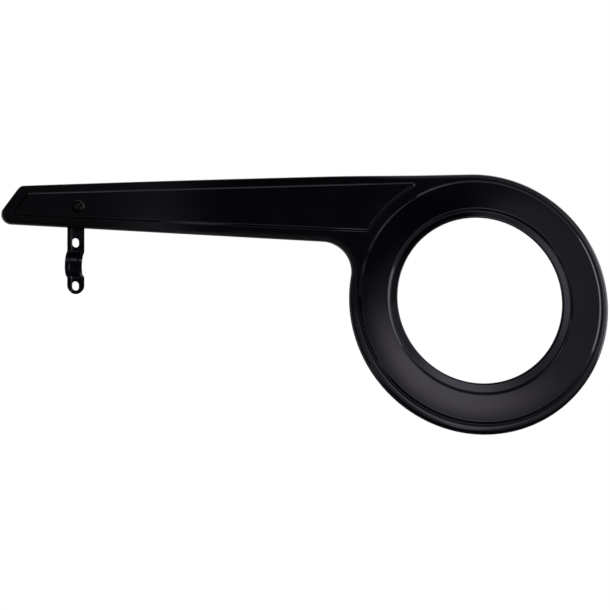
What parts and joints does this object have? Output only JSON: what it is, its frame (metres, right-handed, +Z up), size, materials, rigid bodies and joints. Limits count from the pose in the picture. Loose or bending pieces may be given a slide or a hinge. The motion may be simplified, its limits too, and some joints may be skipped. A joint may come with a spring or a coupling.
{
  "type": "bicycle chain guard",
  "caption": "Pressed sheet metal bicycle chain guard: a long tapering arm with a raised panel, a ring round the crank and a strap bracket that clamps to the chain stay.",
  "frame": {"origin": "centre of the crank opening, half way through its wall", "axes": "+X forward along the bicycle, +Y inward to the bicycle, +Z up, so the outer face looks to -Y"},
  "size_m": [0.4675, 0.0209, 0.2],
  "materials": {
    "black_paint": "gloss black paint",
    "black_steel": "black finished steel"
  },
  "bodies": {
    "root": {"guard_shell": "black_paint", "stay_bracket": "black_paint", "bracket_screw": "black_steel", "bracket_nut": "black_steel"}
  },
  "joints": []
}
